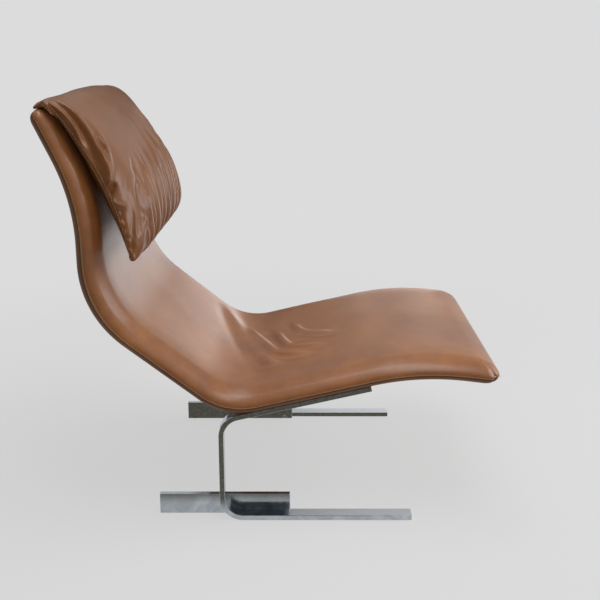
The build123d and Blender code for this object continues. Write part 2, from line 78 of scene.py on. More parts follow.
def shadeSmooth(obj):
    makeActive(obj)
    bpy.ops.object.shade_smooth()


def startEdit():
    bpy.ops.object.mode_set(mode="EDIT")
    bpy.ops.mesh.select_all(action="SELECT")


# Moves each vertex of a piece to where a function puts it
def reshape(obj, placeOf):
    for vertex in obj.data.vertices:
        vertex.co = placeOf(vertex.co)
    obj.data.update()


def smoothStep(low, high, value):
    share = min(1.0, max(0.0, (value - low) / (high - low)))
    return share * share * (3 - 2 * share)


def hill(value, middle, spread):
    return math.exp(-((value - middle) / spread) ** 2)


# (forward, up) in the chair's side view, as the CAD wave is drawn
wave = {
    "width": 0.600,
    "low": (-0.115, 0.262),
    "seat": (0.452, 13.1),
    "nose": (0.160, 7.2),
    "lumbar": (0.397, 38.0),
    "neck": 0.257,
    "head": (0.180, 24.6),
    "rearRadii": (0.600, 0.150, 0.240, 0.450),
    "frontRadii": (0.640, 0.150, 0.230, 0.480),
    "thickness": (0.044, 0.044, 0.042, 0.048, 0.044, 0.044),
    "ribStep": 0.004,
}


def stepFrom(point, length, heading):
    turn = math.radians(heading)
    return Vector((point[0] + length * math.cos(turn), point[1] + length * math.sin(turn)))


def rearCorners():
    low = Vector(wave["low"])
    crest = stepFrom(low, wave["seat"][0], wave["seat"][1])
    nose = stepFrom(crest, wave["nose"][0], -wave["nose"][1])
    lumbar = stepFrom(low, wave["lumbar"][0], 180 - wave["lumbar"][1])
    neck = stepFrom(lumbar, wave["neck"], 90)
    head = stepFrom(neck, wave["head"][0], 90 + wave["head"][1])
    return [nose, crest, low, lumbar, neck, head]


def towardsSitter(line, gaps):
    moved = []
    for i, point in enumerate(line):
        before = (line[max(i, 1)] - line[max(i - 1, 0)]).normalized()
        after = (line[min(i + 1, len(line) - 1)] - line[min(i, len(line) - 2)]).normalized()
        side = Vector((before.y + after.y, -before.x - after.x))
        moved.append(point + side * gaps[i] / (1 + before.dot(after)))
    return moved


# Straights and arcs of a line with rounded corners, each as a function of its share
def bentLine(corners, radii):
    pieces, start = [], corners[0]
    for i, radius in enumerate(radii, 1):
        before = (corners[i] - corners[i - 1]).normalized()
        after = (corners[i + 1] - corners[i]).normalized()
        turn = math.atan2(before.x * after.y - before.y * after.x, before.dot(after))
        run = radius * math.tan(abs(turn) / 2)
        first, last = corners[i] - before * run, corners[i] + after * run
        pieces.append(straight(start, first))
        pieces.append(arc(first, before, radius, turn))
        start = last
    pieces.append(straight(start, corners[-1]))
    return pieces


def straight(start, end):
    return (end - start).length, lambda share: start.lerp(end, share)


def arc(start, way, radius, turn):
    side = Vector((-way.y, way.x)) * math.copysign(radius, turn)

    def pointAt(share):
        angle = turn * share
        spoke = -side
        turned = Vector((
            spoke.x * math.cos(angle) - spoke.y * math.sin(angle),
            spoke.x * math.sin(angle) + spoke.y * math.cos(angle),
        ))
        return start + side + turned
    return radius * abs(turn), pointAt


# Pairs of rear and front points along the wave, and how far along each lies
def makeRibs():
    rearLine = rearCorners()
    frontLine = towardsSitter(rearLine, wave["thickness"])
    rear = bentLine(rearLine, wave["rearRadii"])
    front = bentLine(frontLine, wave["frontRadii"])
    ribs, along = [], 0.0
    for (rearLength, rearAt), (frontLength, frontAt) in zip(rear, front):
        steps = max(2, round((rearLength + frontLength) / 2 / wave["ribStep"]))
        for i in range(steps + (rear[-1][1] is rearAt)):
            low, high = rearAt(i / steps), frontAt(i / steps)
            middle = (low + high) / 2
            if ribs:
                along += (middle - (ribs[-1][0] + ribs[-1][1]) / 2).length
            ribs.append((low, high, along))
    return ribs


ribs = makeRibs()
waveLength = ribs[-1][2]
slabThickness = 0.044


# Rear and front point of the wave at a length from the nose, straight on past its ends
def ribAt(along):
    if along <= 0 or along >= waveLength:
        first, last = (ribs[0], ribs[1]) if along <= 0 else (ribs[-2], ribs[-1])
        end = ribs[0] if along <= 0 else ribs[-1]
        beyond = along if along <= 0 else along - waveLength
        way = ((last[0] + last[1]) - (first[0] + first[1])).normalized()
        return end[0] + way * beyond, end[1] + way * beyond
    low, high = 0, len(ribs) - 1
    while high - low > 1:
        middle = (low + high) // 2
        low, high = (middle, high) if ribs[middle][2] <= along else (low, middle)
    share = (along - ribs[low][2]) / (ribs[high][2] - ribs[low][2])
    return ribs[low][0].lerp(ribs[high][0], share), ribs[low][1].lerp(ribs[high][1], share)


# A flat place on the slab, moved to its place on the chair
def onWave(across, along, depth):
    rear, front = ribAt(along)
    spot = rear + (front - rear) * (depth / slabThickness)
    return Vector((across, -spot.x, spot.y))


# The place on the chair of a flat place on the slab, its corners rounded
def bendToWave(co):
    return onWave(*roundCorner(co.x, co.y), co.z)


shell = {
    "edgeRadius": 0.0205,
    "edgeSegments": 6,
    "endReach": 0.022,
    "margin": 0.03,
    "cut": 0.009,
    "noseCuts": (-0.012, 0.052, 0.004),
    "cornerCuts": (0.245, 0.285, 0.005),
    "seamCut": 0.0015,
    "seamDepth": 0.015,
    "seamGap": 0.0010,
    "seamTuck": 0.003,
    "seamPull": 0.0016,
    "swell": 0.0030,
    "swellStart": (0.30, 0.52),
    "swellEnd": (0.86, 0.64),
    "uneven": 0.0008,
    "unevenScale": 7,
    "unevenSeed": 3.1,
    "deepestDip": -0.0016,
    "flatRim": 0.05,
    "crown": 0.0065,
    "crownReach": 0.10,
    "cornerRound": 0.040,
    "softReach": 0.058,
    "softDrop": 0.50,
    "softPower": 2.3,
    "stitchStep": 0.0062,
    "stitchLength": 0.0042,
    "stitchWidth": 0.0012,
    "stitchDepth": 0.0172,
    "stitchLift": 0.0002,
    "stitchTaper": 0.45,
}


# A flat block on z = 0 with round edges, left in edit mode
def makeBlock(name, size, middle, radius, segments):
    deselectAll()
    bpy.ops.mesh.primitive_cube_add(size=1, location=(0, middle, size[2] / 2))
    block = bpy.context.object
    block.name = block.data.name = name
    block.scale = size
    bpy.ops.object.transform_apply(location=True, rotation=True, scale=True)
    startEdit()
    bpy.ops.mesh.bevel(offset=radius, segments=segments, affect="EDGES")
    return block


# A block as long as the wave, cut into small faces
def makeSlab():
    size = (wave["width"], waveLength + 2 * shell["endReach"], slabThickness)
    slab = makeBlock("slab", size, waveLength / 2, shell["edgeRadius"], shell["edgeSegments"])
    inset = shell["margin"] - shell["endReach"]
    side = wave["width"] / 2 - shell["margin"]
    cutSlab(1, inset, waveLength - inset, shell["cut"])
    cutSlab(0, -side, side, shell["cut"])
    cutSlab(1, *shell["noseCuts"])
    low, high, step = shell["cornerCuts"]
    cutSlab(0, -high, -low, step)
    cutSlab(0, low, high, step)
    for offset in (-shell["seamCut"], 0, shell["seamCut"]):
        bisectAt((0, 0, shell["seamDepth"] + offset), (0, 0, 1))
    bpy.ops.object.mode_set(mode="OBJECT")
    return slab


def bisectAt(place, normal):
    bpy.ops.mesh.select_all(action="SELECT")
    bpy.ops.mesh.bisect(plane_co=place, plane_no=normal)


def cutSlab(axis, low, high, step):
    count = round((high - low) / step)
    for i in range(count + 1):
        place, normal = [0, 0, 0], [0, 0, 0]
        place[axis], normal[axis] = low + (high - low) * i / count, 1
        bisectAt(place, normal)


# Two covers: the front one above the seam, the rear one below it
def splitSlab(slab):
    covers = []
    for name, above in (("shellFrontLeather", True), ("shellRearLeather", False)):
        cover = addObject(name, slab.data.copy())
        cover.data.name = name
        mesh = bmesh.new()
        mesh.from_mesh(cover.data)
        seam = shell["seamDepth"]
        spare = [face for face in mesh.faces if (face.calc_center_median().z > seam) != above]
        bmesh.ops.delete(mesh, geom=spare, context="FACES")
        tuckSeam(mesh, 1 if above else -1)
        mesh.to_mesh(cover.data)
        mesh.free()
        covers.append(cover)
    bpy.data.objects.remove(slab)
    return covers


# The cover's cut edge is pulled in a little and turned inwards, as at a sewn seam
def tuckSeam(mesh, side):
    rim = [edge for edge in mesh.edges if edge.is_boundary]
    rimVerts = {vertex for edge in rim for vertex in edge.verts}
    for vertex in rimVerts:
        vertex.co += inwards(vertex.co) * shell["seamPull"]
        vertex.co.z += side * shell["seamGap"] / 2
    made = bmesh.ops.extrude_edge_only(mesh, edges=rim)["geom"]
    for vertex in made:
        if isinstance(vertex, bmesh.types.BMVert):
            vertex.co += inwards(vertex.co) * shell["seamTuck"]
            vertex.co.z += side * shell["seamGap"]


# The level direction from a place on the slab's rim to its middle field
def inwards(place):
    reach = shell["margin"]
    halfWidth = wave["width"] / 2 - reach
    inner = Vector((
        max(-halfWidth, min(halfWidth, place.x)),
        max(reach - shell["endReach"], min(waveLength + shell["endReach"] - reach, place.y)),
        place.z,
    ))
    return (inner - place).normalized()


# How all drawn folds run out and sink, in widths or shares of a fold
folding = {
    "reach": 3.5,
    "end": 0.24,
    "steps": 6,
    "hollowPlace": 1.7,
    "hollowWidth": 1.1,
    "lapHollow": 0.42,
    "dragHollow": 0.3,
}

# Soft folds in the lap and at the nose's corners: (width, height, places), each place (across, along)
lapFolds = [
    (0.0185, 0.0066, [(0.275, 0.676), (0.132, 0.623), (0.0, 0.575), (-0.120, 0.530), (-0.170, 0.480)]),
    (0.0145, 0.0064, [(0.160, 0.604), (-0.014, 0.538), (-0.094, 0.490), (-0.134, 0.395)]),
    (0.0120, 0.0056, [(0.110, 0.524), (-0.024, 0.484), (-0.068, 0.452), (-0.096, 0.360)]),
    (0.0110, 0.0040, [(0.130, 0.470), (0.040, 0.440), (0.000, 0.400), (-0.030, 0.330)]),
    (0.0035, 0.0030, [(-0.296, -0.004), (-0.285, 0.010), (-0.270, 0.028)]),
    (0.0035, 0.0026, [(-0.290, -0.016), (-0.276, 0.000), (-0.262, 0.012)]),
    (0.0035, 0.0024, [(-0.280, -0.020), (-0.266, -0.008), (-0.248, 0.000)]),
    (0.0035, 0.0030, [(0.296, -0.004), (0.285, 0.010), (0.270, 0.028)]),
    (0.0035, 0.0026, [(0.290, -0.016), (0.276, 0.000), (0.262, 0.012)]),
]


# A smooth line of short steps through a few places
def smoothLine(places):
    steps = folding["steps"]
    points = [Vector(place) for place in places]
    points = [points[0] * 2 - points[1], *points, points[-1] * 2 - points[-2]]
    line = []
    for a, b, c, d in zip(points, points[1:], points[2:], points[3:]):
        for i in range(steps):
            t = i / steps
            line.append(0.5 * (2 * b + (c - a) * t + (2 * a - 5 * b + 4 * c - d) * t ** 2
                               + (3 * b - a - 3 * c + d) * t ** 3))
    return line + [points[-2]]


# Distance of a point from a line, plus on its left, and the share of the line passed
def lineDistance(point, line):
    best, share, side, count = math.inf, 0.0, 1, len(line) - 1
    for i in range(count):
        way = line[i + 1] - line[i]
        rel = point - line[i]
        along = min(1.0, max(0.0, rel.dot(way) / way.length_squared))
        gap = (rel - way * along).length
        if gap < best:
            best, share = gap, (i + along) / count
            side = 1 if way.x * rel.y - way.y * rel.x > 0 else -1
    return best * side, share


# Folds ready for use: width, height, smooth line, and the box outside which each is flat
def smoothFolds(folds):
    ready = []
    for width, rise, places in folds:
        line = smoothLine(places)
        reach = folding["reach"] * width
        low = (min(p.x for p in line) - reach, min(p.y for p in line) - reach)
        high = (max(p.x for p in line) + reach, max(p.y for p in line) + reach)
        ready.append((width, rise, line, low, high))
    return ready


# Height of the folds at a place: each has a round crest and a hollow on its right
def foldsRise(point, folds, hollow):
    height = 0.0
    for width, rise, line, low, high in folds:
        if not (low[0] < point.x < high[0] and low[1] < point.y < high[1]):
            continue
        gap, share = lineDistance(point, line)
        ends = smoothStep(0, folding["end"], share) * smoothStep(1, 1 - folding["end"], share)
        sunk = hill(gap, -folding["hollowPlace"] * width, folding["hollowWidth"] * width)
        height += rise * ends * (hill(gap, 0, width) - hollow * sunk)
    return height


lapLines = smoothFolds(lapFolds)


# Height of the lap's folds at a place on the seat
def foldHeight(across, along):
    return foldsRise(Vector((across, along)), lapLines, folding["lapHollow"])


# Draws the nose's two square corners in to a round, seen from above
def roundCorner(across, along):
    reach = shell["cornerRound"]
    insetX = wave["width"] / 2 - reach
    insetY = reach - shell["endReach"]
    x, y = abs(across) - insetX, insetY - along
    if x <= 0 or y <= 0:
        return across, along
    far = max(x, y)
    scale = far / math.hypot(x, y)
    return math.copysign(insetX + x * scale, across), insetY - y * scale


# Depth of the front after its edges are drawn down towards the seam, most at the nose's corners
def softEdge(across, along, depth):
    seam = shell["seamDepth"]
    if depth <= seam:
        return depth
    left = 1.0
    for inset in (wave["width"] / 2 - abs(across), along + shell["endReach"]):
        near = 1 - min(1.0, max(0.0, inset / shell["softReach"]))
        left *= 1 - shell["softDrop"] * near ** shell["softPower"]
    return seam + (depth - seam) * left


# Dish, folds and slight unevenness, moved into the flat front cover
def dressFront(cover):
    half = wave["width"] / 2
    for vertex in cover.data.vertices:
        across, along, depth = vertex.co
        if depth < slabThickness * 0.6:
            continue
        flatness = smoothStep(half, half - shell["flatRim"], abs(across))
        flatness *= smoothStep(-shell["endReach"], 0.04, along)
        swell = smoothStep(*shell["swellStart"], along) * smoothStep(*shell["swellEnd"], along)
        swell *= shell["swell"]
        scale = shell["unevenScale"]
        spot = Vector((across * scale, along * scale, shell["unevenSeed"]))
        uneven = shell["uneven"] * noise.noise(spot)
        pastEnd = waveLength + shell["endReach"] - along
        edge = min(half - abs(across), along + shell["endReach"], pastEnd)
        crown = shell["crown"] * (1 - (1 - min(1.0, max(0.0, edge / shell["crownReach"]))) ** 2)
        rise = foldHeight(across, along) + uneven + crown + swell * (1 - (across / half) ** 2)
        vertex.co.z += flatness * max(rise, shell["deepestDip"])
    for vertex in cover.data.vertices:
        vertex.co.z = softEdge(*vertex.co)


# One thread stitch lying along Y
def makeStitch():
    length = shell["stitchLength"]
    deselectAll()
    bpy.ops.mesh.primitive_cylinder_add(
        vertices=6, radius=shell["stitchWidth"] / 2, depth=length, rotation=(math.pi / 2, 0, 0),
    )
    stitch = bpy.context.object
    bpy.ops.object.transform_apply(location=True, rotation=True, scale=True)
    startEdit()
    bpy.ops.mesh.bisect(plane_co=(0, 0, 0), plane_no=(0, 1, 0))
    bpy.ops.object.mode_set(mode="OBJECT")
    for vertex in stitch.data.vertices:
        slim = 1 - shell["stitchTaper"] * abs(vertex.co.y) / (length / 2)
        vertex.co.x *= slim
        vertex.co.z *= slim
    return stitch


# One object of many stitches, each put at its place by a function
def joinStitches(name, placings):
    pattern, mesh = makeStitch(), bmesh.new()
    for place in placings:
        lump = pattern.data.copy()
        for vertex in lump.vertices:
            vertex.co = place(vertex.co)
        mesh.from_mesh(lump)
        bpy.data.meshes.remove(lump)
    made = bpy.data.meshes.new(name)
    bmesh.ops.recalc_face_normals(mesh, faces=mesh.faces)
    mesh.to_mesh(made)
    mesh.free()
    bpy.data.objects.remove(pattern)
    return addObject(name, made)


# Places of the side seam's stitches, along both sides and round the nose
def stitchPlacings():
    half, lift, sunk = wave["width"] / 2, shell["stitchLift"], shell["stitchDepth"]
    placings = []
    count = round(waveLength / shell["stitchStep"])
    for side in (-1, 1):
        for i in range(count):
            along = (i + 0.5) * shell["stitchStep"]

            def place(co, along=along, side=side):
                return onWave(side * (half - lift) + co.x, along + co.y, sunk + co.z)
            placings.append(place)
    across = wave["width"] - 2 * shell["edgeRadius"]
    noseCount = round(across / shell["stitchStep"])
    for i in range(noseCount):
        spot = -across / 2 + (i + 0.5) * across / noseCount

        def place(co, spot=spot):
            return onWave(spot + co.y, lift - shell["endReach"] + co.x, sunk + co.z)
        placings.append(place)
    return placings


def buildShell():
    front, rear = splitSlab(makeSlab())
    for cover in (front, rear):
        roundOff(cover)
    dressFront(front)
    for cover in (front, rear):
        reshape(cover, bendToWave)
        shadeSmooth(cover)
    stitches = joinStitches("shellStitches", stitchPlacings())
    print("shell", len(front.data.polygons), len(rear.data.polygons), len(stitches.data.polygons))
    return front, rear, stitches


def newMaterial(name):
    material = bpy.data.materials.new(name)
    material.use_nodes = True
    tree = material.node_tree
    return material, tree, tree.nodes["Principled BSDF"]


# Gives a node's inputs their values, each a socket to link, a colour or a number
def feed(node, values):
    for key, value in values.items():
        if isinstance(value, bpy.types.NodeSocket):
            node.id_data.links.new(value, node.inputs[key])
        else:
            node.inputs[key].default_value = (*value, 1) if isinstance(value, tuple) else value


# A new node. Each keyword is one of its settings, or else one of its inputs.
def addNode(tree, kind, **values):
    node = tree.nodes.new(kind)
    for key, value in values.items():
        if hasattr(node, key):
            setattr(node, key, value)
        else:
            feed(node, {key: value})
    return node


# The outputs of a noise at a place
def addNoise(tree, spot, scale, detail, **more):
    return addNode(
        tree, "ShaderNodeTexNoise", Vector=spot, Scale=scale, Detail=detail, **more,
    ).outputs


def addMath(tree, operation, *values):
    node = addNode(tree, "ShaderNodeMath", operation=operation)
    feed(node, dict(enumerate(values)))
    return node.outputs[0]


def product(tree, first, *others):
    for other in others:
        first = addMath(tree, "MULTIPLY", first, other)
    return first


# A value's smooth or straight way from one number to another
def rangeOf(tree, value, low, high, first, last, way="SMOOTHSTEP"):
    node = addNode(tree, "ShaderNodeMapRange", interpolation_type=way)
    feed(node, dict(enumerate((value, low, high, first, last))))
    return node.outputs[0]


# A mix of two colours, each a socket or a colour
def mixColour(tree, share, first, second):
    node = addNode(tree, "ShaderNodeMix", data_type="RGBA")
    feed(node, {0: share, 6: first, 7: second})
    return node.outputs[2]


# Feeds a height to the shader's normal
def addRelief(tree, shader, height, strength, distance):
    relief = addNode(tree, "ShaderNodeBump", Strength=strength, Distance=distance, Height=height)
    feed(shader, {"Normal": relief.outputs["Normal"]})


# An empty shader group: its tree, its inputs as sockets, and its end
def makeGroup(name, inputs, outputs):
    group = bpy.data.node_groups.new(name, "ShaderNodeTree")
    for key, value in inputs.items():
        kind = "Color" if isinstance(value, tuple) else "Float"
        socket = group.interface.new_socket(name=key, in_out="INPUT", socket_type="NodeSocket" + kind)
        socket.default_value = (*value, 1) if kind == "Color" else value
    for key in outputs:
        kind = "Color" if key == "Color" else "Float"
        group.interface.new_socket(name=key, in_out="OUTPUT", socket_type="NodeSocket" + kind)
    return group, group.nodes.new("NodeGroupInput").outputs, group.nodes.new("NodeGroupOutput")


# Leather: mottled colour, fine pores, small creases and a bump height
def leatherGrainGroup():
    group, given, end = makeGroup(
        "leatherGrain",
        {
            "Light": (0.35, 0.14, 0.05), "Dark": (0.2, 0.08, 0.03),
            "Pore Size": 900.0, "Crease": 0.4, "Sheen": 0.38,
        },
        ("Color", "Roughness", "Height"),
    )
    spot = addNode(group, "ShaderNodeTexCoord").outputs["Object"]
    patches = addNoise(group, spot, 5.5, 6.0, Roughness=0.55, Distortion=0.4)["Fac"]
    streaks = addNoise(group, spot, 38.0, 5.0, Roughness=0.6)["Fac"]
    pores = addNode(
        group, "ShaderNodeTexVoronoi", feature="DISTANCE_TO_EDGE", Vector=spot, Scale=given["Pore Size"],
    )
    bent = addNoise(group, spot, 60.0, 3.0)["Color"]
    pushed = addNode(group, "ShaderNodeMix", data_type="VECTOR", factor_mode="UNIFORM")
    feed(pushed, {0: 0.02, 4: spot, 5: bent})
    creases = addNode(
        group, "ShaderNodeTexVoronoi", feature="DISTANCE_TO_EDGE", Vector=pushed.outputs[1], Scale=160.0,
    )
    mottle = addMath(group, "MULTIPLY_ADD", streaks, 0.45, patches)
    spread = rangeOf(group, mottle, 0.5, 1.0, 0, 1, "LINEAR")
    poreCut = addMath(group, "MINIMUM", pores.outputs["Distance"], 0.12)
    creaseCut = addMath(group, "MINIMUM", creases.outputs["Distance"], 0.05)
    creaseCut = product(group, creaseCut, given["Crease"])
    feed(end, {
        "Color": mixColour(group, spread, given["Dark"], given["Light"]),
        "Roughness": addMath(group, "MULTIPLY_ADD", streaks, 0.10, given["Sheen"]),
        "Height": addMath(group, "MULTIPLY_ADD", poreCut, 4.0, creaseCut),
    })
    return group


def leatherMaterial(name, light, dark, sheen, coat, specular):
    material, tree, shader = newMaterial(name)
    grain = addNode(
        tree, "ShaderNodeGroup", node_tree=leatherGrain, Light=light, Dark=dark, Sheen=sheen, Crease=1.6,
    ).outputs
    addRelief(tree, shader, grain["Height"], 0.12, 0.0006)
    feed(shader, {
        "Base Color": grain["Color"], "Roughness": grain["Roughness"], "Specular IOR Level": specular,
        "Coat Weight": coat, "Coat Roughness": 0.26,
    })
    return material


# Polished steel: smudges, fine scratches and dings, with painted dark reflection on the bent bar's side
# faces and painted pale reflection on the floor bars' tops
def brushGroup():
    group, given, end = makeGroup(
        "steelPolish",
        {
            "Tint": (0.6, 0.62, 0.64), "Edge Tint": (0.100, 0.094, 0.070), "Pale Reflection Tint": (0.66, 0.71, 0.76),
            "Smear": 0.12, "Scratch": 0.5, "Painted Reflections": 0.0,
        },
        ("Color", "Roughness", "Height", "Metallic"),
    )
    place = addNode(group, "ShaderNodeTexCoord").outputs
    spot = place["Object"]
    split = addNode(group, "ShaderNodeSeparateXYZ", Vector=spot).outputs
    facing = addNode(group, "ShaderNodeSeparateXYZ", Vector=place["Normal"]).outputs
    lines = addNode(group, "ShaderNodeMapping", Vector=spot)
    lines.inputs["Scale"].default_value = (1400, 18, 1400)
    brushed = addNoise(group, lines.outputs[0], 1.0, 3.0)["Fac"]
    smudge = addNoise(group, spot, 26.0, 6.0, Roughness=0.65, Distortion=0.8)["Fac"]
    streaks = addNoise(group, spot, 130.0, 4.0, Roughness=0.7)["Fac"]
    dings = addNode(group, "ShaderNodeTexVoronoi", feature="F1", Vector=spot, Scale=95.0)
    dark = rangeOf(group, smudge, 0.35, 0.75, 0.70, 1.0)
    colour = addNode(group, "ShaderNodeVectorMath", operation="SCALE", Scale=dark)
    feed(colour, {0: given["Tint"]})
    # painted dark reflection on the side faces of the bent bar above its foot, and on its inner faces,
    # streaked
    sideways = rangeOf(group, addMath(group, "ABSOLUTE", facing["X"]), 0.75, 0.95, 0, 1)
    above = rangeOf(group, split["Z"], 0.022, 0.060, 0, 1)
    inner = addMath(group, "LESS_THAN", product(group, split["X"], facing["X"]), 0)
    above = addMath(group, "MAXIMUM", above, inner)
    reflectionStreaks = rangeOf(group, streaks, 0.30, 0.72, 1.0, 0.86)
    edge = product(group, sideways, above, reflectionStreaks, given["Painted Reflections"])
    # painted pale reflection on the upward faces of the floor bars, near the floor and towards the front
    upward = rangeOf(group, facing["Z"], 0.8, 0.97, 0, 1)
    below = rangeOf(group, split["Z"], 0.030, 0.018, 0, 1)
    ahead = rangeOf(group, split["Y"], -0.015, -0.045, 0, 1)
    paleTopReflection = product(group, upward, below, ahead, given["Painted Reflections"])
    edged = mixColour(group, edge, colour.outputs[0], given["Edge Tint"])
    rough = rangeOf(group, smudge, 0.3, 0.8, 0.08, given["Smear"], "LINEAR")
    dull = product(group, addMath(group, "MAXIMUM", edge, paleTopReflection), 0.22)
    pit = addMath(group, "LESS_THAN", dings.outputs["Distance"], 0.09)
    scored = product(group, brushed, given["Scratch"])
    feed(end, {
        "Color": mixColour(group, paleTopReflection, edged, given["Pale Reflection Tint"]),
        "Metallic": addMath(group, "SUBTRACT", 1.0, product(group, paleTopReflection, 0.55)),
        "Roughness": addMath(group, "ADD", rough, dull),
        "Height": addMath(group, "SUBTRACT", scored, pit),
    })
    return group


# A steel finish; the last number sets how strongly the painted dark reflection on side faces and the
# painted pale reflection on bar tops show
def steelMaterial(name, tint, smear, scratch, bump, paintedReflections):
    material, tree, shader = newMaterial(name)
    node = addNode(
        tree, "ShaderNodeGroup", node_tree=steelPolish, Tint=tint, Smear=smear, Scratch=scratch,
    )
    feed(node, {"Painted Reflections": paintedReflections})
    polish = node.outputs
    addRelief(tree, shader, polish["Height"], bump, 0.0002)
    feed(shader, {
        "Base Color": polish["Color"], "Roughness": polish["Roughness"], "Metallic": polish["Metallic"],
    })
    return material


# A speckled matt finish for foam, plastic, webbing and thread
def plainMaterial(name, light, dark, rough, scale, bump=0.2):
    material, tree, shader = newMaterial(name)
    spot = addNode(tree, "ShaderNodeTexCoord").outputs["Object"]
    speck = addNoise(tree, spot, scale, 4.0)["Fac"]
    addRelief(tree, shader, speck, bump, 0.0004)
    feed(shader, {"Base Color": mixColour(tree, speck, dark, light), "Roughness": rough})
    return material


# Gives a piece one of the finishes in the list further down
def setFinish(obj, name):
    obj.data.materials.clear()
    obj.data.materials.append(finishes[name])


cushion = {
    "voxel": 0.0055,
    "frames": 20,
    "slackAcross": 0.10,
    "slackDown": 0.03,
    "slackStart": (0.04, 0.26),
    "seedShare": 0.4,
    "seedStart": (0.033, 0.049),
    "cap": 0.014,
    "holdBack": (0.039, 0.031),
    "holdLip": (0.03, -0.01),
    "holdSeam": (0.012, 0.004),
    "holdSide": (0.05, 0.03),
    "reach": 0.357,
    "rearFace": 0.027,
    "half": 0.296,
    "leather": 0.002,
    "seamRise": 0.028,
    "seamSpan": (-0.03, 0.40),
    "tuck": 0.062,
    "tuckReach": 0.17,
    "tuckPower": 1.1,
    "lipTuck": 0.85,
    "sideBand": (0.07, 0.015),
    "overBand": 0.06,
    "topPull": 0.006,
    "topArch": 0.010,
    "topBand": (0.06, -0.03),
    "topFront": (0.023, 0.037),
    "archMiddle": 0.35,
    "lipStart": (0.02, -0.012),
    "lipHug": 0.0044,
    "hugStart": (0.252, 0.280),
    "easing": 2,
    "gather": 0.95,
    "gatherCrease": 0.7,
    "gatherGrown": 0.45,
    "gatherSway": (0.005, 14, 40),
    "hemFade": 0.35,
    "hemStart": (0.85, 1.05),
    "nearFace": (0.060, 0.095),
    "farFace": (0.0, 0.04),
    "sideStart": (-0.002, 0.006),
    "farDrag": 0.4,
    "dragReach": 0.14,
    "seamWaver": (0.0012, 95, 0.010, 0.007),
    "seamGroove": (0.0022, 0.0030),
    "rowGap": 0.0038,
    "rowStart": -0.025,
    "rowLength": 0.385,
    "stitchStep": 0.0064,
}

# The slack leather's cloth, blown up from inside
clothFill = {
    "quality": 5,
    "mass": 0.25,
    "tension_stiffness": 20,
    "compression_stiffness": 20,
    "shear_stiffness": 8,
    "bending_stiffness": 0.15,
    "tension_damping": 8,
    "compression_damping": 8,
    "air_damping": 3,
    "use_pressure": True,
    "uniform_pressure_force": 3.0,
}

# Gathers down to the hem: (across where it starts, across at the hem, start down, width, height)
gathers = [
    (-0.238, -0.216, 0.24, 0.009, 0.0034),
    (-0.205, -0.190, 0.16, 0.012, 0.0052),
    (-0.150, -0.156, 0.20, 0.009, 0.0036),
    (-0.118, -0.126, 0.11, 0.013, 0.0060),
    (-0.072, -0.096, 0.18, 0.008, 0.0036),
    (-0.046, -0.062, 0.09, 0.012, 0.0058),
    (-0.004, -0.036, 0.15, 0.008, 0.0040),
    (0.026, -0.008, 0.05, 0.013, 0.0070),
    (0.064, 0.030, 0.12, 0.009, 0.0048),
    (0.098, 0.058, 0.04, 0.012, 0.0074),
    (0.132, 0.096, 0.10, 0.009, 0.0054),
    (0.160, 0.122, 0.02, 0.012, 0.0078),
    (0.200, 0.160, 0.08, 0.009, 0.0060),
    (0.226, 0.190, 0.01, 0.012, 0.0078),
    (0.262, 0.228, 0.05, 0.010, 0.0064),
    (0.284, 0.262, 0.11, 0.009, 0.0046),
]

# Drag folds on the right side: (width, height, places), each place (down, in from the seam)
dragFolds = [
    (0.0075, 0.0075, [
        (-0.050, 0.004), (-0.013, 0.019), (0.006, 0.025), (0.040, 0.027), (0.071, 0.020), (0.115, 0.000),
    ]),
    (0.0105, 0.0078, [
        (-0.050, 0.034), (0.007, 0.053), (0.054, 0.057), (0.097, 0.051), (0.135, 0.042), (0.200, 0.012),
    ]),
    (0.0100, 0.0070, [(0.060, 0.098), (0.110, 0.080), (0.145, 0.060), (0.174, 0.036), (0.190, 0.010)]),
    (0.0070, 0.0050, [(0.090, 0.060), (0.130, 0.052), (0.162, 0.038), (0.186, 0.012)]),
    (0.0070, -0.0085, [(0.180, 0.050), (0.196, 0.028), (0.206, 0.004)]),
    (0.0080, 0.0062, [(0.214, 0.004), (0.222, 0.016), (0.232, 0.030), (0.235, 0.056)]),
    (0.0060, 0.0046, [(0.240, 0.000), (0.243, 0.012), (0.248, 0.026)]),
    (0.0055, 0.0046, [(0.262, 0.000), (0.266, 0.012), (0.272, 0.024)]),
    (0.0050, 0.0042, [(0.281, 0.000), (0.285, 0.010), (0.290, 0.020)]),
    (0.0055, 0.0046, [(0.303, 0.000), (0.307, 0.012), (0.314, 0.026)]),
    (0.0050, 0.0040, [(0.323, 0.000), (0.328, 0.010), (0.332, 0.020)]),
    (0.0050, 0.0040, [(0.341, 0.000), (0.344, 0.012), (0.346, 0.024)]),
]
dragLines = smoothFolds(dragFolds)


# Places of two rows of stitches beside each side seam of the cushion
def cushionStitches(case):
    mesh = case.data
    tree = BVHTree.FromPolygons([v.co for v in mesh.vertices], [p.vertices for p in mesh.polygons])
    step, eyeAcross, farthest = cushion["stitchStep"], 0.34, 0.12
    placings = []
    for side in (-1, 1):
        for row in (-1, 1):
            for i in range(round(cushion["rowLength"] / step)):
                spots = []
                for share in (0.2, 0.8):
                    down = cushion["rowStart"] + (i + share) * step
                    eye = fromHead(side * eyeAcross, down, seamOut(down) + row * cushion["rowGap"])
                    hit, normal, _, _ = tree.ray_cast(eye, Vector((-side, 0, 0)), farthest)
                    spots.append((hit, normal))
                if spots[0][0] is None or spots[1][0] is None:
                    continue
                first, last = spots[0][0], spots[1][0]
                way = (last - first).normalized()
                up = spots[0][1]
                over = way.cross(up)

                def place(co, middle=(first + last) / 2, way=way, up=up, over=over):
                    return middle + over * co.x + way * co.y + up * (co.z + shell["stitchLift"])
                placings.append(place)
    return placings


